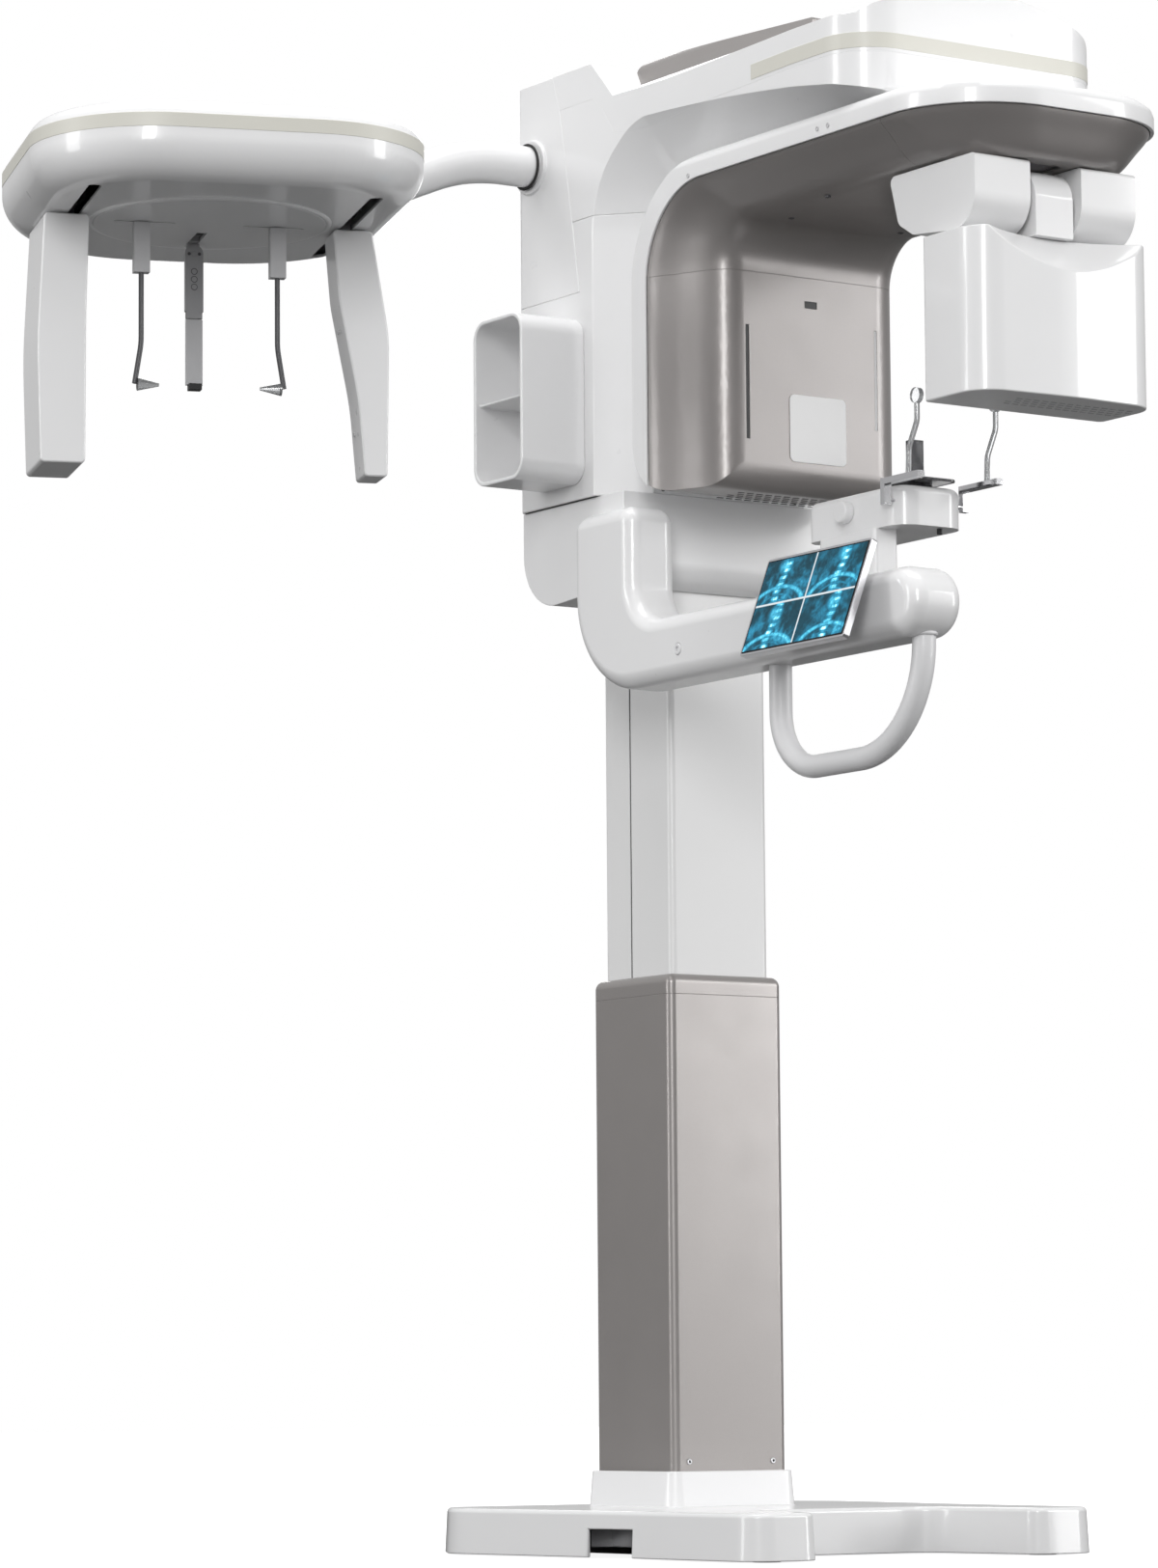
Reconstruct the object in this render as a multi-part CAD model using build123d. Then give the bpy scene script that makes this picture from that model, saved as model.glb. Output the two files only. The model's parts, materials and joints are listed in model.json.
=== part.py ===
from build123d import *
import os
from math import cos, radians, sin

os.makedirs("parts", exist_ok=True)

# Panoramic x-ray machine with a cephalometric arm. Millimetres.
# Origin: centre of the column on the floor. +Z up, -Y towards the patient, -X towards the
# cephalometric head. Everything is drawn with the carriage at its resting height.

# ---------------------------------------------------------------- driving sizes
gap = 0.4              # between pieces that move past each other
run_fit = 0.05         # radial clearance of a shaft in its bore
skin = 4.0             # wall of a moulded cover

# column
base_low, base_top, collar_top = 2.0, 68.0, 120.0
plate_low, plate_thick, plate_inset = 16.0, 25.0, 16.0
sleeve_half, sleeve_wall, sleeve_corner = 102.5, 5.0, 12.0
sleeve_top, cap_top = 823.0, 853.0
column_half, column_wall, column_corner = 88.5, 6.0, 10.0
column_foot = 500.0                    # lower end of the moving column
anchor_pitch, anchor_bore = 250.0, 7.0  # floor anchors under the column
foot_radius, foot_stem = 20.0, 8.0
actuator_rod = 15.0

# body on top of the column
body_half, body_back, body_front = 200.0, 148.0, -124.0
belly_low, belly_top, belly_inset = 1410.0, 1565.0, 8.0
body_top, arm_edge_top, arm_low = 2222.0, 2155.0, 2042.0
arm_half, arm_front, arm_crown = 226.0, -760.0, 2232.0
lid_seam = 2100.0
inner_corner = 82.0                    # curve between spine and arm
flank_x, flank_y = 62.0, 66.0          # broad bevel along the inner edge of the L
strip_height = 22.0

# rotating gantry
turn_y = -570.0
gantry_half, gantry_top, gantry_low = 213.0, 2028.0, 1546.0
gantry_back, gantry_nose, nose_round = -180.0, -972.0, 150.0
rim_thick, rim_round, rim_inner_round, rim_foot_round = 35.0, 175.0, 140.0, 75.0
ceiling, head_face, head_half = 1930.0, -337.0, 158.0
hub_radius = 55.0

# detector
pivot_y, pivot_z, pivot_radius = -868.0, 1878.0, 8.0
fork_half, fork_gap_half, fork_round = 142.0, 45.0, 50.0
neck_half, neck_round = 33.0, 46.0
detector_half, detector_front, detector_back = 158.0, -948.0, -814.0
detector_low, detector_top = 1594.0, 1825.0

# patient arm and chin rest
low_arm_left, low_arm_right = -228.0, -140.0
low_arm_top, low_arm_low, low_arm_end = 1358.0, 1260.0, -882.0
low_arm_back, low_arm_inside = -36.0, -190.0
handle_radius, handle_x, handle_low = 16.5, -182.0, 1108.0
handle_back, handle_fore = -503.0, -840.0
display_tilt = 20.5
chin_half, chin_back, chin_front = 60.0, -400.0, -630.0
chin_low, chin_top = 1458.0, 1516.0
tower_left, tower_right, tower_fore, tower_rear = -66.0, -24.0, -575.0, -440.0
temple_y, temple_z, temple_rod = -608.0, 1493.0, 3.5
pinion_radius = 8.0

# cephalometric head
ceph_x, ceph_y, ceph_turn = -1011.0, -322.0, -19.2
ceph_half, ceph_front, ceph_back = 270.0, -300.0, 315.0
ceph_low, ceph_seam, ceph_top = 1840.0, 1903.0, 1942.0
turntable_radius = 160.0
ear_x, ear_height = 95.0, 1611.0
nasion_y = 120.0
scan_slot_x, scan_slot_half = 192.0, 205.0
tube_y, tube_z, tube_radius, tube_wall = 106.0, 2094.0, 31.5, 3.0


# ---------------------------------------------------------------- helpers
def block(x, y, z, r=0.0):
    """A box between low and high values, its upright edges rounded by r."""
    size = (x[1] - x[0], y[1] - y[0], z[1] - z[0])
    solid = Pos((x[0] + x[1]) / 2, (y[0] + y[1]) / 2, (z[0] + z[1]) / 2) * Box(*size)
    return fillet(solid.edges().filter_by(Axis.Z), r) if r else solid


def post(x, y, r, z):
    """An upright cylinder."""
    return Pos(x, y, (z[0] + z[1]) / 2) * Cylinder(r, z[1] - z[0])


def rod_x(y, z, r, x):
    """A cylinder along X."""
    return Pos((x[0] + x[1]) / 2, y, z) * Rot(0, 90, 0) * Cylinder(r, x[1] - x[0])


def rod_y(x, z, r, y):
    """A cylinder along Y."""
    return Pos(x, (y[0] + y[1]) / 2, z) * Rot(90, 0, 0) * Cylinder(r, y[1] - y[0])


def outline(points, radii):
    face = make_face(FilletPolyline(*points, radius=radii, close=True)).face()
    return -face if face.normal_at().Z < 0 else face


def plan(points, radii, z, taper=0.0):
    """A plan outline (x, y) raised between two heights."""
    return extrude(Pos(0, 0, z[0]) * outline(points, radii), amount=z[1] - z[0], taper=taper)


def side(points, radii, x):
    """A side outline (y, z) carried across from x[0] to x[1]."""
    return extrude(Plane.YZ.offset(x[0]) * outline(points, radii), amount=x[1] - x[0])


def front(points, radii, y):
    """A front outline (x, z) carried back from y[0] to y[1]."""
    return extrude(Plane.XZ.offset(-y[1]) * outline(points, radii), amount=y[1] - y[0])


def mirror_x(solid):
    return mirror(solid, about=Plane.YZ)


def square_tube(half, wall, corner, z):
    outer = block((-half, half), (-half, half), z, corner)
    inner = half - wall
    return outer - block((-inner, inner), (-inner, inner), z, max(corner - wall, 2.0))


def save(name, *solids):
    shape = solids[0] if len(solids) == 1 else Compound(children=[s for s in solids])
    export_step(shape, f"parts/{name}.step")


# ---------------------------------------------------------------- base and column
tip_in, tip_out, tip_front, cut_back = 190.0, 305.0, -586.0, -372.0
wide_half, wide_y, rear_half, rear_y = 356.0, 120.0, 296.0, 222.0


def base_plan(z, inset=0.0, taper=0.0):
    """The U-shaped foot: two legs forward, one wide heel behind the column."""
    half = [(tip_in + inset, tip_front + inset), (tip_out - inset, tip_front + inset),
            (tip_out + 8 - inset, tip_front / 2), (wide_half - inset, wide_y),
            (rear_half - inset, rear_y - inset)]
    radii = [28, 42, 1500, 110, 50]
    cut = (tip_in - 34 + inset, cut_back + inset)
    points = half + [(-x, y) for x, y in reversed(half)] + [(-cut[0], cut[1]), cut]
    return plan(points, radii + radii[::-1] + [55, 55], z, taper)


def make_base():
    cover = base_plan((base_low, base_top), taper=3)
    cover = fillet(cover.faces().sort_by(Axis.Z)[-1].edges(), 7)
    foot, neck = sleeve_half + 14, sleeve_half + 9
    collar = loft([Pos(0, 0, base_top - 3) * RectangleRounded(2 * foot, 2 * foot, 24),
                   Pos(0, 0, collar_top) * RectangleRounded(2 * neck, 2 * neck, 18)])
    cover = cover + collar
    hole = sleeve_half + 1
    cover -= block((-hole, hole), (-hole, hole), (0, collar_top + 1), sleeve_corner + 1)
    cover -= base_plan((base_low - 1, base_top - skin), inset=skin + 3)
    notch = block((-wide_half, -wide_half + 70), (-300, -200), (base_low - 1, 42))
    save("base_cover", cover - notch)

    plate_top = plate_low + plate_thick
    plate = base_plan((plate_low, plate_top), inset=plate_inset)
    pad = anchor_pitch / 2 + 25
    plate += block((-pad, pad), (-pad, pad), (0, plate_low), 20)
    for x in (-anchor_pitch / 2, anchor_pitch / 2):
        for y in (-anchor_pitch / 2, anchor_pitch / 2):
            plate -= post(x, y, anchor_bore, (-1, plate_top + 1))
    plate -= block((-wide_half, -wide_half + 85), (-310, -190), (0, plate_top + 1))
    feet = []
    for x, y in ((-243, -530), (243, -530), (-285, 130), (285, 130)):
        plate -= post(x, y, foot_stem, (0, plate_top + 1))
        feet.append(post(x, y, foot_radius, (0, 6)) + post(x, y, foot_stem, (6, plate_top + 12)))
    save("base_plate", plate)
    save("levelling_feet", *feet)


def make_column():
    plate_top = plate_low + plate_thick
    sleeve = square_tube(sleeve_half, sleeve_wall, sleeve_corner, (plate_top, sleeve_top))
    save("column_sleeve", sleeve)

    cap = block((-sleeve_half, sleeve_half), (-sleeve_half, sleeve_half),
                (sleeve_top, cap_top), sleeve_corner)
    cap = fillet(cap.faces().sort_by(Axis.Z)[-1].edges(), 14)
    mouth = column_half + 2.5
    cap -= block((-mouth, mouth), (-mouth, mouth), (sleeve_top - 1, cap_top + 1), column_corner)
    save("sleeve_cap", cap)

    column = square_tube(column_half, column_wall, column_corner, (column_foot, belly_top))
    for s in (-1, 1):
        x = sorted((s * (column_half - 2.5), s * (column_half + 1)))
        column -= block(x, (15.2, 18.8), (column_foot - 1, belly_top + 1))
    save("inner_column", column)

    pads = []
    inner, face = sleeve_half - sleeve_wall, column_half + gap
    for z in ((680, 730), (765, 815)):
        pads += [block((face, inner), (-30, 8), z), block((-inner, -face), (-30, 8), z),
                 block((-30, 30), (face, inner), z), block((-30, 30), (-inner, -face), z)]
    save("glide_pads", *pads)

    rod_r, tube_r = actuator_rod, actuator_rod + 11
    tube = post(0, 0, tube_r, (plate_top, 720)) - post(0, 0, tube_r - 6, (plate_top + 8, 700))
    tube -= post(0, 0, rod_r + run_fit, (690, 721))
    save("lift_actuator_tube", tube)
    save("lift_motor", post(48, 40, 21, (plate_top, 250)) + block((20, 60), (20, 60), (plate_top, 70)))


# ---------------------------------------------------------------- carriage: frame and covers
def flank_cut(d):
    """What the broad bevel takes off the right side, from the spine round to under the arm."""
    flat, reach = body_half - flank_x - d / 2, 130
    rise = reach * flank_y / flank_x
    line_y, line_z = body_front + d, arm_low + d
    bend = inner_corner - d
    axis_y, axis_z = line_y - inner_corner, line_z - inner_corner
    spine = plan([(flat, line_y), (flat + reach, line_y + rise), (flat + reach, line_y - 5),
                  (flat, line_y - 5)], [0] * 4, (belly_top - 5, axis_z))
    far = arm_front - 30
    ends = [Plane.XZ.offset(-y) * make_face(Polyline((flat, line_z), (flat + reach, line_z + h),
                                                     (flat + reach, line_z - 5), (flat, line_z - 5),
                                                     close=True))
            for y, h in ((axis_y, rise), (far, 2))]
    under = loft(ends, ruled=True)
    wedge = make_face(Polyline((flat, bend + d), (flat + reach, bend + d + rise),
                               (flat + reach, bend - 6), (flat, bend - 6), close=True))
    turned = revolve(wedge, axis=Axis.X, revolution_arc=90)
    return spine + under + Pos(0, axis_y, axis_z) * turned


def hull(d=0.0):
    """The body and its upper arm as one form, drawn smaller by d for the hollow."""
    foot = belly_top - (1 if d else 0)
    profile = side([(body_back - d, foot), (body_back - d, body_top - d), (-58, body_top - d),
                    (-122, arm_edge_top - d), (arm_front + d, arm_edge_top - d),
                    (arm_front + d, arm_low + d), (body_front + d, arm_low + d),
                    (body_front + d, foot)],
                   [0, 12, 12, 12, 10, 14, inner_corner, 0], (-arm_half - 5, arm_half + 5))
    cut = flank_cut(d)
    wide = arm_half - d
    crown = front([(-wide, arm_low + 60), (wide, arm_low + 60), (wide, arm_edge_top - d),
                   (0, arm_crown - d), (-wide, arm_edge_top - d)],
                  [0, 0, 60, 420, 60], (arm_front + d, -100))
    right = [(arm_half - d, arm_front + d), (arm_half - d, arm_front * 0.8),
             (body_half - d, body_front), (body_half - d, body_back - d)]
    left = [(-x, y) for x, y in reversed(right)]
    radii = [75, 0, 0, 14]
    trim = plan(left + right, radii[::-1] + radii, (belly_top - 2, body_top + 20))
    return ((profile + crown) & trim) - cut - mirror_x(cut)


def split_regions():
    """Side outlines (y, z) that part the body shell into its covers."""
    far = arm_front - 20
    lid = [(60, body_top + 40), (28, 2168), (-62, 2168), (-88, 2148), (-118, 2106),
           (-150, lid_seam), (far, lid_seam), (far, body_top + 40)]
    back = [(60, body_top + 40), (28, 2168), (-4, 1990), (-21, 1880), (160, 1880),
            (160, body_top + 40)]
    frontal = [(28, 2168), (-62, 2168), (-88, 2148), (-118, 2106), (-150, lid_seam),
               (far, lid_seam), (far, 1990), (-4, 1990)]
    return [(n, side(p, 0, (-300, 300))) for n, p in
            (("top_cover", lid), ("back_cover", back), ("front_cover", frontal))]


def make_covers():
    shell = hull() - hull(skin)
    hub_hole = post(0, turn_y, hub_radius + 45, (arm_low - 30, arm_low + 30))
    shell -= hub_hole
    port = rod_x(tube_y, tube_z, tube_radius + 0.2, (-body_half - 20, -body_half + 20))
    shell -= port
    rest = shell
    for name, region in split_regions():
        piece = shell & region
        rest -= region
        if name == "top_cover":
            piece = piece - strip_solid() - insert_solid()
        if name == "back_cover":
            ring = rod_x(tube_y, tube_z, tube_radius + 10, (-body_half - 5, -body_half))
            piece += ring - port
        save(name, piece)
    save("waist_cover", rest)

    inset = belly_inset
    belly = side([(body_back, belly_top), (body_back, belly_low), (body_front, belly_low + 18),
                  (body_front, belly_top)], [0, 85, 40, 0], (-body_half + inset, body_half - inset))
    hollow = side([(body_back - skin, belly_top + 1), (body_back - skin, belly_low + skin),
                   (body_front + skin, belly_low + 18 + skin), (body_front + skin, belly_top + 1)],
                  [0, 81, 36, 0], (-body_half + inset + skin, body_half - inset - skin))
    mouth = column_half + 3
    belly = belly - hollow
    belly -= block((-mouth, mouth), (-mouth, mouth), (belly_low - 40, belly_top))
    save("belly_cover", belly - low_arm_solid(1.0))

    save("top_insert", insert_solid())


def strip_solid():
    """The light strip let into the lid, along the left side and round the front."""
    band = block((-300, 300), (-900, -500), (lid_seam + 5, lid_seam + 5 + strip_height))
    return (hull(-0.6) - hull(2.4)) & band


def insert_solid():
    """The raised painted wedge on top of the arm."""
    wedge = front([(-136, 2170), (136, 2170), (112, 2236), (-112, 2236)], [0, 0, 26, 26], (-520, -62))
    slope = side([(-62, 2170), (-62, 2238), (-520, 2206), (-520, 2170)], [0, 18, 4, 0], (-150, 150))
    return (wedge & slope) - hull(0.5)


def make_frame():
    inner, beam = arm_low + 28, arm_low + 40
    outer = column_half + 8
    frame = block((-outer, outer), (-outer, outer), (belly_low + 50, belly_top + 35))
    frame -= block((-column_half, column_half), (-column_half, column_half),
                   (belly_low + 49, belly_top + 1))
    frame -= block((-80, 80), (-80, 80), (belly_top, belly_top + 23))
    frame += block((-120, 120), (60, 72), (belly_top + 35, beam))
    for x in ((-120, -112), (112, 120)):
        frame += block(x, (-85, 72), (belly_top + 35, beam))
        frame += block(x, (-650, 72), (inner, beam + 30))
    frame += block((-120, 120), (-92, 92), (belly_top + 23, belly_top + 35))
    frame += block((-120, 120), (-655, 72), (inner, beam))
    frame -= post(0, turn_y, hub_radius + 10, (inner - 1, beam + 1))
    frame += post(0, 0, actuator_rod, (column_foot, belly_top + 30))
    save("carriage_frame", frame)

    bearing = post(0, turn_y, hub_radius + 35, (arm_low - 4, inner))
    save("slew_bearing", bearing - post(0, turn_y, hub_radius + run_fit, (arm_low - 5, inner + 1)))
    motor_y = turn_y + 230
    base = (beam + 30, beam + 36)
    motor = post(0, motor_y, 30, (base[0], base[1] + 55))
    plate = block((-45, 45), (motor_y - 45, motor_y + 45), base)
    for x in (-38, 38):
        for y in (-38, 38):
            plate += post(x, motor_y + y, 5, (beam, base[0]))
    motor += plate + post(0, motor_y, 14, (beam + 5, base[0]))
    belt_z = (beam + 8, beam + 22)
    big, small = hub_radius + 30, 14
    outer = belt_loop(big + 2.8, small + 2.8, motor_y, belt_z)
    save("gantry_motor", motor)
    save("gantry_belt", outer - belt_loop(big + gap, small + gap, motor_y, belt_z))


def belt_loop(big, small, motor_y, z):
    circles = Circle(big).edges() + (Pos(0, motor_y - turn_y) * Circle(small)).edges()
    return extrude(Pos(0, turn_y, z[0]) * make_hull(circles), amount=z[1] - z[0])


# ---------------------------------------------------------------- patient arm, handle, display
def low_arm_solid(grow=0.0):
    """The L-shaped arm that carries the chin rest, from the body's left corner forward."""
    g = grow
    top = belly_top - 32
    shape = side([(low_arm_back + g, top + g), (low_arm_back + g, low_arm_low - g),
                  (low_arm_end - g, low_arm_low - g), (low_arm_end - g, low_arm_top + g),
                  (low_arm_inside - g, low_arm_top + g), (low_arm_inside - g, top + g)],
                 [26, 150, 49, 49, 62, 26], (low_arm_left - g, low_arm_right + g))
    if grow:
        return shape
    sides = shape.edges().filter_by(lambda e: abs(e.center().X - low_arm_left) < 0.1
                                    or abs(e.center().X - low_arm_right) < 0.1)
    return fillet(sides, 24)


def make_low_arm():
    arm = low_arm_solid()
    wall = 16
    back, inside = low_arm_back - wall, low_arm_inside + wall
    end, low, high = low_arm_end + wall, low_arm_low + wall, low_arm_top - wall
    core = side([(back, belly_top - 50), (back, low), (end, low), (end, high), (inside, high),
                 (inside, belly_top - 50)], [10, 130, 30, 30, 78, 10],
                (low_arm_left + 12, low_arm_right - 12))
    arm = arm - core
    plug = rod_x(-313, 1303, 9, (low_arm_left - 1, low_arm_left + 4))
    arm -= plug
    for y in (handle_back, handle_fore):
        arm -= post(handle_x, y, handle_radius + 0.1, (low_arm_low - 20, low_arm_low + 17))
    save("patient_arm", arm)

    path = FilletPolyline((handle_x, handle_back, low_arm_low + 16), (handle_x, handle_back, handle_low),
                          (handle_x, handle_fore, handle_low), (handle_x, handle_fore, low_arm_low + 16),
                          radius=[85, 148])
    start = Plane(origin=path @ 0, z_dir=path % 0)
    save("handle", sweep(start * Circle(handle_radius), path=path))


def display_frame():
    """Where the display sits: its lower middle edge, leaning out from the arm."""
    return Location((-298, -688, 1258), (0, 0, 0)) * Rot(0, display_tilt, 0)


def make_display():
    wide, tall, thick = 245, 150, 10
    place = display_frame()
    bezel = block((0, thick), (-wide / 2, wide / 2), (0, tall))
    bezel = fillet(bezel.edges().filter_by(Axis.X), 5)
    glass = block((-0.8, 2.2), (-wide / 2 + 4, wide / 2 - 4), (4, tall - 4))
    stalk = place * block((thick, thick + 90), (-28, 28), (45, 105))
    stalk &= block((-400, low_arm_left), (-900, -500), (1262, 1354))
    save("display_bezel", place * (bezel - glass) + stalk)
    save("display_glass", place * glass)


# ---------------------------------------------------------------- storage box on the left side
def make_side_box():
    x, y, z = (-312, -body_half), (-34, 100), (1588, 1840)
    box = block(x, y, z)
    box = fillet(box.edges().filter_by(Axis.X), 30)
    hollow = block((x[0] - 1, x[1] - 6), (y[0] + 6, y[1] - 6), (z[0] + 6, z[1] - 6))
    hollow = fillet(hollow.edges().filter_by(Axis.X), 24)
    shelf = block((x[0] + 8, x[1] - 6), (y[0] + 6, y[1] - 6), (1712, 1715))
    save("side_box", box - hollow + shelf)


# ---------------------------------------------------------------- gantry
def nose_outline(z, d):
    """Plan outline of the gantry arm at height z: large round corners at the detector end."""
    half, nose = gantry_half - d, gantry_nose + d
    points = [(-half, gantry_back), (-half, nose), (half, nose), (half, gantry_back)]
    return Pos(0, 0, z) * outline(points, [0, nose_round, nose_round, 0])


def nose_plan(d=0.0):
    """Everything inside the gantry's plan, with its upper edge eased off round sides and nose."""
    top = gantry_top - d + (1 if d else 0)
    steps = [(top - 15, d), (top - 7, d + 2), (top, d + 9)]
    form = extrude(nose_outline(gantry_low - 5, d), amount=top - 15 - gantry_low + 5)
    for (low, one), (high, other) in zip(steps, steps[1:]):
        form += loft([nose_outline(low, one), nose_outline(high, other)], ruled=True)
    return form


def gantry_outside(d=0.0):
    """Side outline of the gantry's back and top, drawn smaller by d."""
    return side([(gantry_nose - 5, gantry_low + d), (gantry_back - d, gantry_low + d),
                 (gantry_back - d, gantry_top - d), (gantry_nose - 5, gantry_top - d)],
                [0, rim_foot_round - d, rim_round - d, 0], (-gantry_half, gantry_half))


def gantry_inside(g):
    """Side outline of what the rim encloses, drawn smaller by g."""
    rear, roof = gantry_back - rim_thick - g, gantry_top - rim_thick - g
    return side([(gantry_nose - 6, gantry_low - 5), (rear, gantry_low - 5), (rear, roof),
                 (gantry_nose - 6, roof)], [0, 0, rim_inner_round, 0], (-gantry_half, gantry_half))


def gantry_shell():
    outer = (gantry_outside() - gantry_inside(0)) & nose_plan()
    void = (gantry_outside(skin) - gantry_inside(1)) & nose_plan(skin)
    return outer - void - post(0, turn_y, hub_radius + 3, (gantry_top - 20, gantry_top + 1))


# half-width of the opening, and how far it has flared out from the tube head to the rim
flare = [(120, 0.0), (140, 0.03), (158, 0.14), (175, 0.38), (192, 0.68), (209, 1.0)]


def flare_void(d):
    """The patient's space inside the gantry, opening in a smooth flare to both rims."""
    def section(x, share):
        y = head_face + (gantry_back - rim_thick - head_face) * share + d
        z = ceiling + (gantry_top - rim_thick - ceiling) * share + d
        far, low = gantry_nose - 60, gantry_low - 60
        r = 60 + (rim_inner_round - 60) * share + d
        return Plane.YZ.offset(x) * outline([(far, low), (y, low), (y, z), (far, z)], [0, 0, r, 0])

    flank = loft([section(x, share) for x, share in flare])
    inner = flare[0][0]
    middle = extrude(section(-inner, 0), amount=2 * inner)
    return middle + flank + mirror_x(flank)


def nose_flare(d):
    """The gantry's nose, drawn in from the rim down to the ceiling."""
    def section(x, share):
        wide = gantry_half - 4
        half, nose = min(x + 3, wide) - d, gantry_nose + 4 + (wide - x) * 0.55 + d
        r = nose_round - (wide - x) * 0.5
        z = ceiling - 1 + (gantry_top - rim_thick + 3 - ceiling) * share + d
        points = [(-half, -300), (-half, nose), (half, nose), (half, -300)]
        return Pos(0, 0, z) * outline(points, [0, r, r, 0])

    return loft([section(x, share) for x, share in flare])


def liner_form(d=0.0):
    """The painted inner side of the gantry: tube head, ceiling and nose in one flared skin."""
    more = 1 if d else 0
    rim_y, rim_z = gantry_back - rim_thick + more, gantry_top - rim_thick + more
    wide, low, split = gantry_half - 4 - d, gantry_low + d, -450
    whole = side([(gantry_nose, low), (rim_y, low), (rim_y, rim_z), (gantry_nose, rim_z)],
                 [0, 0, rim_inner_round, 0], (-wide, wide))
    whole &= gantry_outside(d)
    rear = block((-wide, wide), (split, rim_y), (low, rim_z))
    fore = block((-wide, wide), (gantry_nose, split), (ceiling - 2, rim_z))
    toe_y, toe_z, r = head_face + d, gantry_low + d, 38
    toe = block((-wide, wide), (toe_y - 1, toe_y + r), (toe_z - 1, toe_z + r))
    toe -= rod_x(toe_y + r, toe_z + r, r, (-wide, wide))
    form = (whole & rear) + ((whole & fore) & nose_flare(d))
    return form - flare_void(d) - toe


def make_gantry():
    save("gantry_shell", gantry_shell())
    liner = liner_form() - liner_form(skin)
    slot = block((-118, -112), (head_face - 5, head_face + skin + 1), (1618, 1787))
    lamp = block((116, 120), (head_face - 5, head_face + skin + 1), (1650, 1800))
    port = block((-11, 11), (head_face - 5, head_face + skin + 1), (1822, 1832))
    seam_y, seam_z = -790, 1867
    nose_zone = block((-300, 300), (gantry_nose - 10, seam_y), (ceiling - 5, gantry_top))
    head_zone = block((-300, 300), (-450, gantry_back), (gantry_low - 5, seam_z))
    fork_seat = block((-30, 30), (-897, -842), (ceiling - 2, ceiling + skin + 1))
    save("nose_cover", (liner & nose_zone) - fork_seat)
    save("tube_head_cover", (liner & head_zone) - slot - lamp - port)
    save("ceiling_liner", liner - nose_zone - head_zone)
    save("head_windows", block((-118, -112), (head_face + 1, head_face + skin), (1618, 1787)),
         block((-11, 11), (head_face + 1, head_face + skin), (1822, 1832)),
         block((116, 120), (head_face + 0.5, head_face + skin), (1650, 1800)))

    plate = (gantry_top - 26, gantry_top - 14)
    bend_y, bend_z, rear = -310, 1905, -197
    frame = side([(-890, plate[1]), (bend_y, plate[1]), (rear, bend_z), (rear, gantry_low + 50),
                  (rear - 8, gantry_low + 50), (rear - 8, bend_z - 4), (bend_y - 4, plate[0]),
                  (-890, plate[0])], 0, (-110, 110))
    frame += block((-60, 60), (-905, -745), (ceiling + skin, plate[0]))
    save("gantry_frame", frame)
    housing = block((-105, 105), (head_face + 17, -205), (1600, 1850), 16)
    limiter = block((-60, 60), (head_face + 8, head_face + 17), (1610, 1795))
    limiter -= block((-4, 4), (head_face + 7, head_face + 17), (1618, 1787))
    save("xray_tube_housing", housing + limiter)
    hub_top = arm_low + 70
    hub = post(0, turn_y, hub_radius, (plate[1], hub_top)) - post(0, turn_y, 30, (plate[1], hub_top))
    save("gantry_hub", hub + (post(0, turn_y, hub_radius + 30, (arm_low + 48, arm_low + 62))
                              - post(0, turn_y, 30, (plate[1], hub_top))))


def make_fork():
    top, y, z = ceiling - 1, pivot_y, pivot_z
    block_side = side([(y - fork_round, top), (-722, top), (-742, 1858), (-775, 1838),
                       (y, z - fork_round), (y - fork_round, z - fork_round)],
                      [6, 10, 20, 12, 0, fork_round - 0.5], (fork_gap_half, fork_half))
    inner = side([(y - 30, top - 12), (-745, top - 12), (-760, 1868), (y + 40, z - 30)],
                 [4, 4, 4, 4], (fork_gap_half + 12, fork_half - 8))
    cheek = block_side - inner - rod_x(y, z, pivot_radius, (fork_gap_half - 1, fork_half - 8))
    save("fork_blocks", cheek, mirror_x(cheek))
    save("pivot_pin", rod_x(y, z, pivot_radius, (-fork_half + 9, fork_half - 9)))

    neck = rod_x(y, z, neck_round, (-neck_half, neck_half))
    neck += block((-neck_half, neck_half), (y - neck_round, y + 24), (detector_top - 6, z))
    neck -= rod_x(y, z, pivot_radius + run_fit, (-neck_half - 1, neck_half + 1))
    wide, bulge = detector_half, detector_front - 4
    points = [(-wide, detector_back), (-wide, detector_front + 6), (0, bulge),
              (wide, detector_front + 6), (wide, detector_back)]
    box = plan(points, [10, 48, 500, 48, 10], (detector_low, detector_top))
    inner = [(x * (wide - skin) / wide, py + (skin if i in (1, 2, 3) else -skin))
             for i, (x, py) in enumerate(points)]
    hollow = plan(inner, [8, 44, 500, 44, 8], (detector_low + skin, detector_top - skin))
    scoop_r, lean = 340.0, Vector(0, -cos(radians(45)), sin(radians(45)))
    centre = Vector(0, detector_front, detector_top - 50) + lean * scoop_r
    scoop = Plane(origin=centre, z_dir=(0, 1, 1)) * Cylinder(scoop_r, 600)
    deep = Plane(origin=centre - lean * skin, z_dir=(0, 1, 1)) * Cylinder(scoop_r + 0.01, 600)
    shell = (box - scoop) - (hollow - deep)
    save("detector_neck", neck - block((-60, 60), (-1000, -700), (detector_top - 8, detector_top)))
    save("detector_shell", shell)
    panel = block((-118, 118), (detector_back - 42, detector_back - 22),
                  (detector_low + 12, detector_top - 16))
    save("flat_panel", panel + block((-30, 30), (detector_back - 22, detector_back - skin),
                                     (detector_low + 60, detector_top - 30)))


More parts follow.
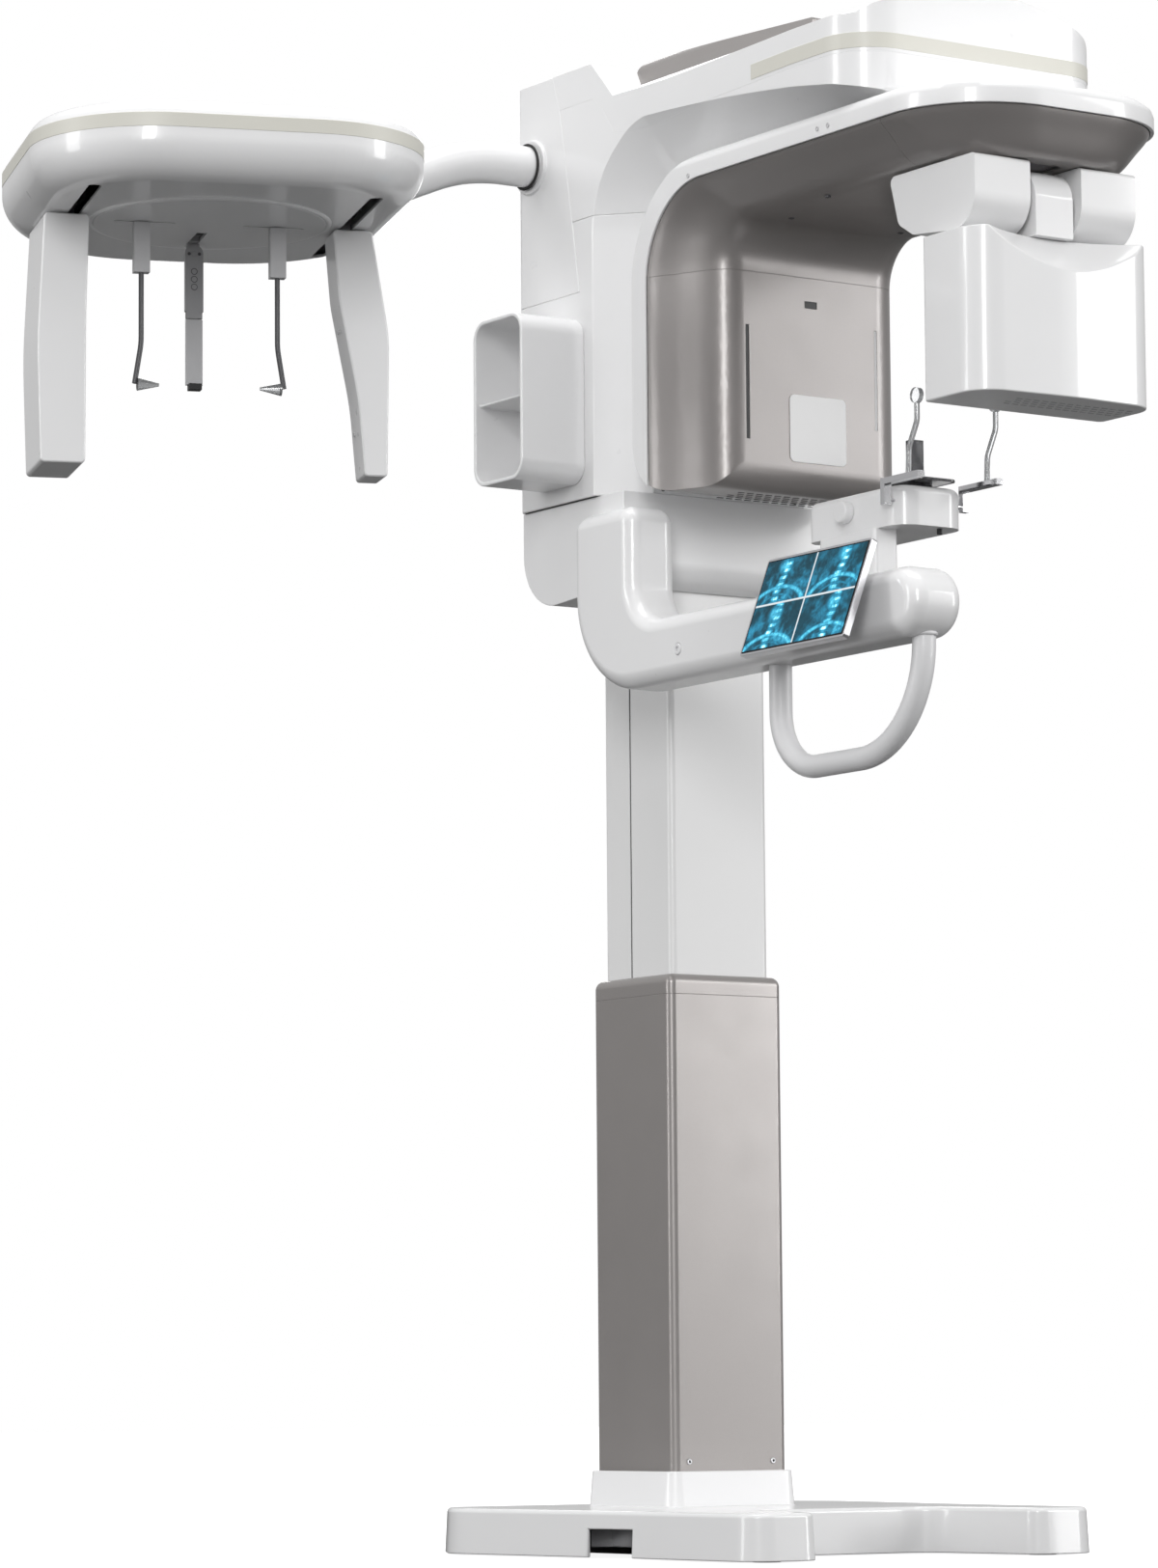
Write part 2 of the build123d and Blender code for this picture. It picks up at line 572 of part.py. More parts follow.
# ---------------------------------------------------------------- chin rest
def make_chin_rest():
    bracket = block((low_arm_right, tower_right), (tower_fore + 3, tower_rear - 3), (1300, 1345), 8)
    wall = 8
    guide_x = (tower_left + wall + gap, tower_right - wall - gap)
    guide_y = (tower_fore + wall + gap, tower_rear - wall - gap)
    save("chin_bracket", bracket + block(guide_x, guide_y, (1345, chin_low - 18)))
    tower = block((tower_left, tower_right), (tower_fore, tower_rear), (1362, chin_low), 6)
    inside = block((tower_left + wall, tower_right - wall), (tower_fore + wall, tower_rear - wall),
                   (1361, chin_low + 1))

    def box(d):
        half, back, fore = chin_half - d, chin_back - d, chin_front + d
        solid = plan([(-half, back), (-half, fore), (half, fore), (half, back)], [20, 34, 34, 20],
                     (chin_low - (1 if d else 0), chin_top - d))
        return fillet(solid.faces().sort_by(Axis.Z)[-1].edges(), 11)

    bore = rod_x(temple_y, temple_z, temple_rod + run_fit, (-chin_half - 1, chin_half + 1))
    cover = box(0) - box(3) - bore
    knob_y, knob_z = -502, 1490
    cover -= rod_x(knob_y, knob_z, 4 + run_fit, (-chin_half - 1, 0))
    save("chin_box_cover", cover)
    button_x, button_y = 22, -612
    base = plan([(-56, chin_back - 4), (-56, chin_front + 4), (56, chin_front + 4), (56, chin_back - 4)],
                [17, 31, 31, 17], (chin_low, chin_low + 3))
    base -= post(button_x, button_y, 4 + run_fit, (chin_low - 1, chin_low + 4))
    save("chin_tower", tower - inside + base)
    button = post(button_x, button_y, 4, (chin_low - 8, chin_low + 6))
    save("height_button", button + post(button_x, button_y, 7, (chin_low + 7, chin_low + 9))
         + post(button_x, button_y, 4, (chin_low + 5, chin_low + 8)))

    knob = rod_x(knob_y, knob_z, 16, (-chin_half - 15, -chin_half - gap))
    knob = fillet(knob.faces().sort_by(Axis.X)[0].edges(), 3)
    knob += rod_x(knob_y, knob_z, 4, (-chin_half - 1, -12))
    save("temple_knob", knob + rod_x(knob_y, knob_z, pinion_radius, (-30, -24)))

    for name, s in (("left", -1), ("right", 1)):
        xs = sorted((s * 30, s * 70))
        rail = rod_x(temple_y, temple_z, temple_rod, xs)
        arm_x = sorted((s * 64, s * 76))
        link = rail + block(arm_x, (temple_y - 5, temple_y + 5), (temple_z - 7, 1524))
        link += block(arm_x, (temple_y - 84, temple_y + 5), (1515, 1524))
        x = s * 70
        path = FilletPolyline((x, -662, 1524), (x, -664, 1560), (x, -684, 1596), (x, -684, 1622),
                              radius=[24, 24])
        wand = sweep(Plane(origin=path @ 0, z_dir=path % 0) * Circle(4), path=path)
        pad = rod_x(-684, 1632, 11, sorted((s * 66, s * 74)))
        save(f"temple_support_{name}", link + wand + pad)

    cup = block((-34, 34), (-642, -545), (1522, 1526), 12)
    cup += block((-22, 22), (-600, -555), (chin_top, 1523), 6)
    cup -= block((-12, 12), (-600, -570), (chin_top - 1, 1527))
    fork = block((-11, 11), (-592, -588), (chin_top, 1588), 0) + block((-11, 11), (-582, -578),
                                                                      (chin_top, 1588), 0)
    fork += block((-11, 11), (-592, -578), (1584, 1588))
    save("chin_and_bite_rest", cup, fork)


# ---------------------------------------------------------------- cephalometric head
head_place = Location((ceph_x, ceph_y, 0), (0, 0, ceph_turn))


def ceph_plan(z, d=0.0):
    half, fore, rear = ceph_half - d, ceph_front + d, ceph_back - d
    return plan([(-half, fore), (half, fore), (half, rear), (-half, rear)],
                [175 - d, 175 - d, 215 - d, 215 - d], z)


def save_ceph(name, *solids):
    save(name, *[head_place * s for s in solids])


def ceph_housing(d=0.0):
    form = ceph_plan((ceph_low + d, ceph_top - d), d)
    low = form.faces().sort_by(Axis.Z)[0].edges()
    form = fillet(low, 52 - d)
    return fillet(form.faces().sort_by(Axis.Z)[-1].edges(), 26 - d)


def tube_path():
    return FilletPolyline((-body_half + 15, tube_y, tube_z), (-320, tube_y, tube_z), (-640, 56, 1960),
                          (-842, -158, 1893), radius=[330, 300])


def make_ceph_head():
    path = tube_path()
    start = Plane(origin=path @ 0, z_dir=path % 0)
    tube = sweep(start * Circle(tube_radius), path=path)
    bore = sweep(start * Circle(tube_radius - tube_wall), path=path)
    save("ceph_tube", tube - bore)

    local_tube = head_place.inverse() * tube
    shell = ceph_housing() - ceph_housing(skin) - local_tube
    band_y = 120
    strip = (ceph_plan((ceph_seam, ceph_seam + 19), -0.6) - ceph_plan((ceph_seam, ceph_seam + 19), 2.4))
    strip &= block((-400, 400), (-400, band_y), (ceph_seam, ceph_seam + 19))
    above = block((-400, 400), (-400, 400), (ceph_seam, ceph_top + 10))
    lower = shell - above
    lower -= post(0, 0, turntable_radius + gap, (ceph_low - 5, ceph_low + 10))
    for s in (-1, 1):
        x = s * scan_slot_x
        lower -= block((x - 9, x + 9), (-scan_slot_half, scan_slot_half), (ceph_low - 5, ceph_low + 10), 8)
    save_ceph("ceph_lower_shell", lower)
    save_ceph("ceph_top_shell", (shell & above) - strip)
    save("light_strips", strip_solid(), head_place * strip)

    deck = (1912, 1922)
    frame = ceph_plan(deck, 40)
    for y in ((-238, -230), (230, 238)):
        frame += block((-208, 208), y, (1872, deck[0]))
    frame += post(0, 0, 62, (1852, deck[0])) - post(0, 0, 40 + run_fit, (1851, deck[0]))
    frame = frame - local_tube
    for s in (-1, 1):
        frame += rod_y(s * scan_slot_x, 1886, 6, (-230, 230))
    save_ceph("ceph_frame", frame)

    disc = post(0, 0, turntable_radius, (ceph_low - 3, ceph_low + 3))
    disc += post(0, 0, 40, (ceph_low + 3, deck[0] - 2))
    for s in (-1, 1):
        xs = sorted((s * 48, s * 132))
        disc -= block(xs, (-3.5, 3.5), (ceph_low - 4, ceph_low + 4))
    disc -= block((-7, 7), (55, 152), (ceph_low - 4, ceph_low + 4))
    save_ceph("turntable", disc)


def make_ear_rods():
    for name, s in (("left", -1), ("right", 1)):
        x = s * ear_x
        holder = block((x - 11, x + 11), (-8, 8), (1766, ceph_low - 4))
        holder += block((x - 8, x + 8), (-3, 3), (ceph_low - 4, ceph_low + 4))
        holder += block((x - 12, x + 12), (-9, 9), (ceph_low + 4, ceph_low + 11))
        path = FilletPolyline((x, 0, 1766), (x, 0, 1668), (x + s * 9, 0, 1612), radius=[120])
        rod = sweep(Plane(origin=path @ 0, z_dir=path % 0) * Circle(3.6), path=path)
        tip_x = x + s * 9
        cone = Cone(9, 2.2, 30)
        cone = Pos(tip_x - s * 18.6, 0, ear_height) * Rot(0, -s * 90, 0) * cone
        save_ceph(f"ear_rod_{name}", holder + rod + cone)


def make_nasion():
    y, hub_z = nasion_y, 1820
    slider = block((-6, 6), (y - 12, y + 12), (ceph_low - 4, ceph_low + 4))
    slider += block((-14, 14), (y - 14, y + 14), (ceph_low + 4, ceph_low + 11))
    slider += block((-9, 9), (y + 2, y + 9), (hub_z, ceph_low - 4)) + rod_y(0, hub_z, 9, (y + 2, y + 9))
    slider += rod_y(0, hub_z, 4, (y - 6, y + 3))
    save_ceph("nasion_slider", slider)
    arm = rod_y(0, hub_z, 13, (y - 5, y + 2 - gap)) + block((-13, 13), (y - 5, y + 2 - gap), (1738, hub_z))
    arm -= rod_y(0, hub_z, 4 + run_fit, (y - 7, y + 3))
    clip = block((-11.5, 11.5), (y - 5, y + 1), (1728, 1738))
    blade_gap = block((-6.2, 6.2), (y - 3.2, y + 0.2), (1700, 1790))
    save_ceph("nasion_arm", arm + clip - blade_gap)
    blade = block((-6, 6), (y - 3, y), (1690, 1775)) + block((-12, 12), (y - 4, y), (1634, 1727))
    save_ceph("nasion_blade", blade + block((-9, 9), (y - 16, y), (1626, 1635)))


def scan_stem(x, y):
    stem = block((x - 6, x + 6), (y - 26, y + 26), (1838, 1866))
    slide = block((x - 20, x + 20), (y - 34, y + 34), (1866, 1902))
    return stem + slide - rod_y(x, 1886, 6 + run_fit, (y - 40, y + 40))


def make_scan_boxes():
    x, low = -scan_slot_x, 1494
    y = (-32, 100)
    prof = [(-172, 1838), (-176, 1700), (-177, low), (-238, low), (-243, 1660), (-234, 1838)]
    shell = front(prof, [6, 900, 6, 6, 900, 6], y)
    core = front([(-177, 1833), (-181, 1700), (-182, low + 5), (-233, low + 5), (-238, 1660),
                  (-229, 1833)], [3, 900, 3, 3, 900, 3], (y[0] + 5, y[1] - 5))
    board = block((-212, -204), (0, 68), (low + 20, 1828)) + block((x - 20, x + 6), (8, 60), (1820, 1828))
    board += block((x - 6, x + 6), (8, 60), (1828, 1840))
    shell -= block((x - 7, x + 7), (7, 61), (1830, 1840))
    save_ceph("sensor_box", shell - core)
    save_ceph("sensor_slide", scan_stem(x, 34) + board)
    x, y = scan_slot_x, (-5, 57)
    prof = [(173, 1838), (181, 1740), (208, 1600), (217, low), (249, low), (252, 1690), (228, 1838)]
    shell = front(prof, [6, 200, 500, 5, 5, 260, 6], y)
    core = front([(180, 1833), (187, 1740), (214, 1600), (223, low + 5), (244, low + 5), (247, 1690),
                  (223, 1833)], [3, 200, 500, 3, 3, 250, 3], (y[0] + 4, y[1] - 4))
    save_ceph("collimator_box", shell - core)
    save_ceph("collimator_slide", scan_stem(x, 26))


make_base()
make_column()
make_covers()
make_frame()
make_low_arm()
make_display()
make_side_box()
make_gantry()
make_fork()
make_chin_rest()
make_ceph_head()
make_ear_rods()
make_nasion()
make_scan_boxes()
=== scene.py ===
import json
import math

import bpy
from mathutils import Matrix, Vector


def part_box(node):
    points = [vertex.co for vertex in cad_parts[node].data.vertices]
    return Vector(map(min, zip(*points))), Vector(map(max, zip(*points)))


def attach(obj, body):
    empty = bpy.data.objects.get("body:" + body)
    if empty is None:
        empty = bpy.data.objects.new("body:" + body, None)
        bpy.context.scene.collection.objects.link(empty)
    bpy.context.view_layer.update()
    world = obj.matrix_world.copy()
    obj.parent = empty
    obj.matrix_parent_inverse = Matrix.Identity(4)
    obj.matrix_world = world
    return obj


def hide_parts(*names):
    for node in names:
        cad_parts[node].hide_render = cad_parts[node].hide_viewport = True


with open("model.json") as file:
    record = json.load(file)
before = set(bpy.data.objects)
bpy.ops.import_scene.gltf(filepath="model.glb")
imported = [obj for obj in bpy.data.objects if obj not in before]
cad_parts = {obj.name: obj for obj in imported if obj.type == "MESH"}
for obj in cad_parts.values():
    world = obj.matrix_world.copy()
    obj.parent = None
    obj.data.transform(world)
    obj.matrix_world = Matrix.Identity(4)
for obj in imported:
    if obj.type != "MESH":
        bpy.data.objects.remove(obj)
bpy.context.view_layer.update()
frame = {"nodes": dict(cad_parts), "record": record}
nodes = frame["nodes"]
print("frame loaded,", len(nodes), "parts")

# small working tools

def deselectAll():
    if bpy.context.object and bpy.context.object.mode != "OBJECT":
        bpy.ops.object.mode_set(mode="OBJECT")
    bpy.ops.object.select_all(action="DESELECT")


def pick(piece):
    deselectAll()
    piece.select_set(True)
    bpy.context.view_layer.objects.active = piece


def applyAll(piece):
    pick(piece)
    for modifier in list(piece.modifiers):
        bpy.ops.object.modifier_apply(modifier=modifier.name)


def settle(piece):
    pick(piece)
    bpy.ops.object.transform_apply(location=True, rotation=True, scale=True)


def setMaterial(piece, material):
    piece.data.materials.clear()
    piece.data.materials.append(material)


def paintWhere(piece, material, test):
    piece.data.materials.append(material)
    index = len(piece.data.materials) - 1
    for face in piece.data.polygons:
        if test(face.center, face.normal):
            face.material_index = index


def joinPieces(pieces, name):
    deselectAll()
    for piece in pieces:
        piece.select_set(True)
    bpy.context.view_layer.objects.active = pieces[0]
    bpy.ops.object.join()
    pieces[0].name = name
    return pieces[0]


def finishPiece(piece, body, smooth=32.0):
    pick(piece)
    bpy.ops.object.shade_smooth_by_angle(angle=math.radians(smooth))
    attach(piece, body)
    return piece


# shader groups: every finish uses the surface finish; the parting-line group goes only into finishes given
# lines, and no finish here is given any

def newGroup(name, inputs, outputs):
    group = bpy.data.node_groups.new(name, "ShaderNodeTree")
    for label, kind, value in inputs:
        socket = group.interface.new_socket(label, in_out="INPUT", socket_type=kind)
        if value is not None:
            socket.default_value = value
    for label, kind in outputs:
        group.interface.new_socket(label, in_out="OUTPUT", socket_type=kind)
    return group, group.nodes.new("NodeGroupInput"), group.nodes.new("NodeGroupOutput")


def math2(tree, operation, a, b=None, clamp=False):
    node = tree.nodes.new("ShaderNodeMath")
    node.operation = operation
    node.use_clamp = clamp
    for index, value in ((0, a), (1, b)):
        if value is None:
            continue
        if isinstance(value, (int, float)):
            node.inputs[index].default_value = value
        else:
            tree.links.new(value, node.inputs[index])
    return node.outputs[0]


def rangeMap(tree, value, low, high, toLow=0.0, toHigh=1.0):
    node = tree.nodes.new("ShaderNodeMapRange")
    node.interpolation_type = "SMOOTHSTEP"
    tree.links.new(value, node.inputs["Value"])
    for label, number in (("From Min", low), ("From Max", high), ("To Min", toLow), ("To Max", toHigh)):
        node.inputs[label].default_value = number
    return node.outputs["Result"]


def mixColour(tree, factor, a, b, blend="MIX"):
    node = tree.nodes.new("ShaderNodeMix")
    node.data_type = "RGBA"
    node.blend_type = blend
    for socket, value in ((node.inputs[0], factor), (node.inputs[6], a), (node.inputs[7], b)):
        if isinstance(value, (int, float)):
            socket.default_value = value
        elif isinstance(value, (tuple, list)):
            socket.default_value = tuple(value) + ((1.0,) if len(value) == 3 else ())
        else:
            tree.links.new(value, socket)
    return node.outputs[2]


def noiseAt(tree, place, scale, detail=2.0, rough=0.5):
    node = tree.nodes.new("ShaderNodeTexNoise")
    node.inputs["Scale"].default_value = scale
    node.inputs["Detail"].default_value = detail
    node.inputs["Roughness"].default_value = rough
    tree.links.new(place, node.inputs["Vector"])
    return node.outputs["Fac"]


def buildFinishGroup():

    group, take, give = newGroup(
        "surfaceFinish",
        [("Place", "NodeSocketVector", None), ("Colour", "NodeSocketColor", (0.8, 0.8, 0.8, 1)),
         ("Rough", "NodeSocketFloat", 0.3), ("Mottle", "NodeSocketFloat", 0.02),
         ("Grain", "NodeSocketFloat", 0.1)],
        [("Colour", "NodeSocketColor"), ("Rough", "NodeSocketFloat"), ("Height", "NodeSocketFloat")])
    place = take.outputs["Place"]
    broad = noiseAt(group, place, 3.5, 3.0, 0.55)
    handled = noiseAt(group, place, 17.0, 4.0, 0.6)
    fine = noiseAt(group, place, 900.0, 2.0, 0.6)
    peel = noiseAt(group, place, 260.0, 1.0, 0.4)
    shade = math2(group, "SUBTRACT", math2(group, "ADD", broad, handled), 1.0)
    shade = math2(group, "MULTIPLY", shade, take.outputs["Mottle"])
    speck = math2(group, "MULTIPLY", math2(group, "SUBTRACT", fine, 0.5), take.outputs["Grain"])
    total = math2(group, "ADD", math2(group, "ADD", shade, speck), 1.0)
    tint = group.nodes.new("ShaderNodeCombineColor")
    for channel in range(3):
        group.links.new(total, tint.inputs[channel])
    colour = mixColour(group, 1.0, take.outputs["Colour"], tint.outputs[0], "MULTIPLY")
    rough = math2(group, "ADD", take.outputs["Rough"],
                  math2(group, "MULTIPLY", math2(group, "SUBTRACT", handled, 0.5), 0.12), clamp=True)
    height = math2(group, "ADD", math2(group, "MULTIPLY", peel, 0.5), math2(group, "MULTIPLY", fine, 0.5))
    group.links.new(colour, give.inputs["Colour"])
    group.links.new(rough, give.inputs["Rough"])
    group.links.new(height, give.inputs["Height"])
    return group


def buildLineGroup():
    group, take, give = newGroup(
        "partingLine",
        [("Place", "NodeSocketVector", None), ("Direction", "NodeSocketVector", (0, 0, 1)),
         ("Distance", "NodeSocketFloat", 0.0), ("Width", "NodeSocketFloat", 0.0008)],
        [("Mask", "NodeSocketFloat")])
    dot = group.nodes.new("ShaderNodeVectorMath")
    dot.operation = "DOT_PRODUCT"
    group.links.new(take.outputs["Place"], dot.inputs[0])
    group.links.new(take.outputs["Direction"], dot.inputs[1])
    away = math2(group, "ABSOLUTE", math2(group, "SUBTRACT", dot.outputs["Value"], take.outputs["Distance"]))
    mask = math2(group, "SUBTRACT", 1.0, math2(group, "DIVIDE", away, take.outputs["Width"]), clamp=True)
    group.links.new(mask, give.inputs["Mask"])
    return group


finishGroup = buildFinishGroup()
lineGroup = buildLineGroup()


def makeFinish(name, colour, rough, mottle=0.02, grain=0.02, bump=0.15, metal=0.0, coat=0.0,
               coatRough=0.05, lines=(), extra=None):
    material = bpy.data.materials.new(name)
    material.use_nodes = True
    tree = material.node_tree
    shader = tree.nodes["Principled BSDF"]
    place = tree.nodes.new("ShaderNodeTexCoord").outputs["Object"]
    finish = tree.nodes.new("ShaderNodeGroup")
    finish.node_tree = finishGroup
    tree.links.new(place, finish.inputs["Place"])
    finish.inputs["Colour"].default_value = tuple(colour) + (1.0,)
    finish.inputs["Rough"].default_value = rough
    finish.inputs["Mottle"].default_value = mottle
    finish.inputs["Grain"].default_value = grain
    paint = finish.outputs["Colour"]
    height = finish.outputs["Height"]
    for direction, distance, width in lines:
        line = tree.nodes.new("ShaderNodeGroup")
        line.node_tree = lineGroup
        tree.links.new(place, line.inputs["Place"])
        line.inputs["Direction"].default_value = direction
        line.inputs["Distance"].default_value = distance
        line.inputs["Width"].default_value = width
        # painted shade: the parting-line mask mixes the paint towards dark grey as shade in the seam gap; the
        # same mask also sinks the bump as a real groove
        seamShade = math2(tree, "MULTIPLY", line.outputs["Mask"], 0.55)
        paint = mixColour(tree, seamShade, paint, (0.12, 0.12, 0.12))
        height = math2(tree, "SUBTRACT", height, math2(tree, "MULTIPLY", line.outputs["Mask"], 3.0))
    tree.links.new(paint, shader.inputs["Base Color"])
    tree.links.new(finish.outputs["Rough"], shader.inputs["Roughness"])
    relief = tree.nodes.new("ShaderNodeBump")
    relief.inputs["Strength"].default_value = bump
    relief.inputs["Distance"].default_value = 0.0002
    tree.links.new(height, relief.inputs["Height"])
    tree.links.new(relief.outputs["Normal"], shader.inputs["Normal"])
    shader.inputs["Metallic"].default_value = metal
    shader.inputs["Coat Weight"].default_value = coat
    shader.inputs["Coat Roughness"].default_value = coatRough
    if extra:
        for label, value in extra.items():
            shader.inputs[label].default_value = value
    return material


print("building finishes")
finishes = {
    "whiteGloss": makeFinish("whiteGloss", (0.84, 0.84, 0.845), 0.30, 0.012, 0.012, 0.05, coat=0.55),
    "whiteSatin": makeFinish("whiteSatin", (0.78, 0.78, 0.79), 0.42, 0.015, 0.03, 0.22, coat=0.15),
    "columnCoat": makeFinish("columnCoat", (0.82, 0.82, 0.82), 0.33, 0.012, 0.03, 0.2, coat=0.2),
    "taupeMetal": makeFinish("taupeMetal", (0.35, 0.33, 0.322), 0.36, 0.03, 0.10, 0.16, metal=0.55, coat=0.25,
                             coatRough=0.2),
    "linerMetal": makeFinish("linerMetal", (0.285, 0.268, 0.262), 0.36, 0.02, 0.09, 0.1, metal=0.42, coat=0.3,
                             coatRough=0.18),
    "creamDiffuser": makeFinish("creamDiffuser", (0.66, 0.65, 0.59), 0.45, 0.02, 0.02, 0.1),
    "cardWhite": makeFinish("cardWhite", (0.88, 0.88, 0.88), 0.65, 0.01, 0.01, 0.03),
    "plainSteel": makeFinish("plainSteel", (0.52, 0.52, 0.53), 0.34, 0.05, 0.12, 0.2, metal=1.0),
    "machinedAlloy": makeFinish("machinedAlloy", (0.66, 0.66, 0.68), 0.30, 0.04, 0.10, 0.2, metal=1.0),
    "brightChrome": makeFinish("brightChrome", (0.78, 0.78, 0.80), 0.08, 0.02, 0.02, 0.03, metal=1.0),
    "blackPlastic": makeFinish("blackPlastic", (0.012, 0.012, 0.013), 0.45, 0.1, 0.15, 0.3),
    "darkGrey": makeFinish("darkGrey", (0.085, 0.085, 0.09), 0.38, 0.06, 0.12, 0.3),
    "midGrey": makeFinish("midGrey", (0.36, 0.36, 0.37), 0.35, 0.04, 0.06, 0.2, coat=0.2),
    "paleGrey": makeFinish("paleGrey", (0.55, 0.55, 0.56), 0.38, 0.03, 0.05, 0.2, coat=0.15),
    "rubberBlack": makeFinish("rubberBlack", (0.02, 0.02, 0.02), 0.7, 0.1, 0.2, 0.4),
    "smokedClear": makeFinish("smokedClear", (0.10, 0.10, 0.11), 0.12, 0.03, 0.02, 0.05, coat=0.5,
                              extra={"Transmission Weight": 0.55, "IOR": 1.49}),
    "clearPlastic": makeFinish("clearPlastic", (0.62, 0.63, 0.64), 0.08, 0.01, 0.01, 0.03, coat=0.3,
                               extra={"Transmission Weight": 0.75, "IOR": 1.49}),
}


def makeScreenPicture(name, corner, lean, wide, tall):
    material = bpy.data.materials.new(name)
    material.use_nodes = True
    tree = material.node_tree
    shader = tree.nodes["Principled BSDF"]
    coordinates = tree.nodes.new("ShaderNodeTexCoord")
    turn = tree.nodes.new("ShaderNodeMapping")
    turn.vector_type = "TEXTURE"
    turn.inputs["Location"].default_value = corner
    turn.inputs["Rotation"].default_value = (0, math.radians(lean), 0)
    tree.links.new(coordinates.outputs["Object"], turn.inputs["Vector"])
    split = tree.nodes.new("ShaderNodeSeparateXYZ")
    tree.links.new(turn.outputs["Vector"], split.inputs[0])
    across = math2(tree, "ADD", math2(tree, "DIVIDE", split.outputs["Y"], -wide), 0.5)
    up = math2(tree, "DIVIDE", split.outputs["Z"], tall)
    cellX = math2(tree, "FRACT", math2(tree, "MULTIPLY", across, 2.0))
    cellY = math2(tree, "FRACT", math2(tree, "MULTIPLY", up, 2.0))
    rightHalf = math2(tree, "GREATER_THAN", across, 0.5)
    topHalf = math2(tree, "GREATER_THAN", up, 0.5)
    shift = math2(tree, "ADD", math2(tree, "MULTIPLY", rightHalf, 0.12),
                  math2(tree, "MULTIPLY", topHalf, -0.07))
    x = math2(tree, "SUBTRACT", cellX, math2(tree, "ADD", shift, 0.50))
    y = math2(tree, "SUBTRACT", cellY, 0.5)
    grainy = noiseAt(tree, turn.outputs["Vector"], 95.0, 5.0, 0.65)
    sway = math2(tree, "MULTIPLY", math2(tree, "SINE", math2(tree, "MULTIPLY", y, 5.0)), 0.05)
    column = math2(tree, "ABSOLUTE", math2(tree, "SUBTRACT", x, sway))
    columnGlow = rangeMap(tree, column, 0.02, 0.11, 1.0, 0.0)
    beads = rangeMap(tree, math2(tree, "SINE", math2(tree, "MULTIPLY", y, 44.0)), -0.4, 0.7, 0.45, 1.0)
    columnGlow = math2(tree, "MULTIPLY", columnGlow, beads)
    wideX = math2(tree, "MULTIPLY", math2(tree, "MULTIPLY", x, x), 0.8)
    distance = math2(tree, "SQRT", math2(tree, "ADD", wideX,
                                         math2(tree, "POWER", math2(tree, "ADD", y, 0.62), 2.0)))
    arcs = math2(tree, "ABSOLUTE", math2(tree, "SUBTRACT", distance, 0.46))
    arcGlow = rangeMap(tree, arcs, 0.01, 0.07, 0.75, 0.0)
    ribs = math2(tree, "ABSOLUTE", math2(tree, "SINE", math2(tree, "MULTIPLY", distance, 26.0)))
    ribGlow = math2(tree, "MULTIPLY", rangeMap(tree, ribs, 0.75, 1.0, 0.0, 0.5),
                    rangeMap(tree, distance, 0.2, 0.5, 1.0, 0.0))
    jaw = math2(tree, "SQRT", math2(tree, "ADD", math2(tree, "MULTIPLY", math2(tree, "MULTIPLY", x, x), 1.6),
                                    math2(tree, "POWER", math2(tree, "SUBTRACT", y, 0.28), 2.0)))
    jawGlow = rangeMap(tree, jaw, 0.05, 0.24, 0.7, 0.0)
    total = columnGlow
    cloudy = rangeMap(tree, noiseAt(tree, turn.outputs["Vector"], 34.0, 3.0, 0.6), 0.42, 0.72, 0.06, 0.62)
    cloudy = math2(tree, "MULTIPLY", cloudy, rangeMap(tree, y, -0.45, 0.45, 1.0, 0.45))
    for layer in (arcGlow, ribGlow, jawGlow, cloudy):
        total = math2(tree, "MAXIMUM", total, layer)
    total = math2(tree, "MULTIPLY", total, rangeMap(tree, grainy, 0.25, 0.75, 0.45, 1.15))
    ramp = tree.nodes.new("ShaderNodeValToRGB")
    ramp.color_ramp.elements[0].color = (0.003, 0.022, 0.032, 1)
    ramp.color_ramp.elements[1].color = (0.52, 0.86, 0.96, 1)
    middle = ramp.color_ramp.elements.new(0.38)
    middle.color = (0.016, 0.17, 0.28, 1)
    high = ramp.color_ramp.elements.new(0.72)
    high.color = (0.07, 0.42, 0.58, 1)
    tree.links.new(total, ramp.inputs["Fac"])
    offMiddleX = math2(tree, "ABSOLUTE", math2(tree, "SUBTRACT", across, 0.5))
    offMiddleY = math2(tree, "ABSOLUTE", math2(tree, "SUBTRACT", up, 0.5))
    cross = math2(tree, "MAXIMUM", rangeMap(tree, offMiddleX, 0.004, 0.009, 1.0, 0.0),
                  rangeMap(tree, offMiddleY, 0.006, 0.014, 1.0, 0.0))
    picture = mixColour(tree, cross, ramp.outputs["Color"], (0.42, 0.46, 0.48))
    fromEdge = math2(tree, "MINIMUM",
                     math2(tree, "MINIMUM", across, math2(tree, "SUBTRACT", 1.0, across)),
                     math2(tree, "MULTIPLY",
                           math2(tree, "MINIMUM", up, math2(tree, "SUBTRACT", 1.0, up)), 0.62))
    inside = rangeMap(tree, fromEdge, 0.022, 0.026)
    picture = mixColour(tree, inside, (0.004, 0.004, 0.005), picture)
    tree.links.new(picture, shader.inputs["Base Color"])
    tree.links.new(picture, shader.inputs["Emission Color"])
    shader.inputs["Emission Strength"].default_value = 0.85
    shader.inputs["Roughness"].default_value = 0.22
    shader.inputs["Specular IOR Level"].default_value = 0.12
    return material


displaySizes = {"corner": (-0.298, -0.688, 1.258), "lean": 20.5, "wide": 0.245, "tall": 0.150}
finishes["screenPicture"] = makeScreenPicture("screenPicture", displaySizes["corner"], displaySizes["lean"],
                                              displaySizes["wide"], displaySizes["tall"])

# camera

cameraSizes = {"place": (-4.7604, -6.8622, 0.2281), "azimuth": -33.65, "pitch": 6.303, "roll": -0.433,
               "lens": 127.62}


